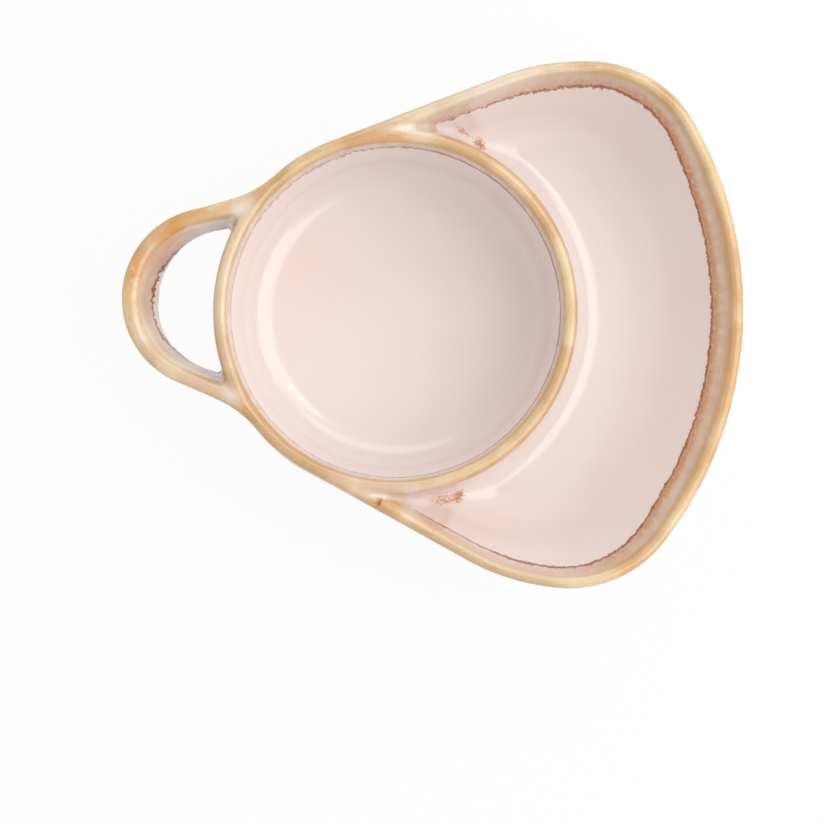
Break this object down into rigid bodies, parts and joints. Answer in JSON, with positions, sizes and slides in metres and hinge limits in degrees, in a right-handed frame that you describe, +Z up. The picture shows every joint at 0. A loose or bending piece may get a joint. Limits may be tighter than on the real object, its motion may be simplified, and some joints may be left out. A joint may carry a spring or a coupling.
{
  "type": "divided serving dish",
  "caption": "Glazed stoneware serving dish: a round bowl with a crescent tray wrapped round one side and a loop handle on the other.",
  "frame": {"origin": "middle of the dish's plan box, on the surface the foot ring stands on", "axes": "+X from the handle towards the tray's end, along the longest extent; +Z up, the shortest extent; the dish is the same on both sides of the XZ plane"},
  "size_m": [0.2812, 0.2384, 0.0685],
  "materials": {
    "stoneware_glaze": "glossy pink-cream glaze with an ochre rim that has run",
    "bare_stoneware": "unglazed, matt"
  },
  "bodies": {
    "root": {"base_slab": "stoneware_glaze", "bowl_wall": "stoneware_glaze", "tray_wall": "stoneware_glaze", "loop_handle": "stoneware_glaze", "foot_ring": "bare_stoneware"}
  },
  "joints": []
}
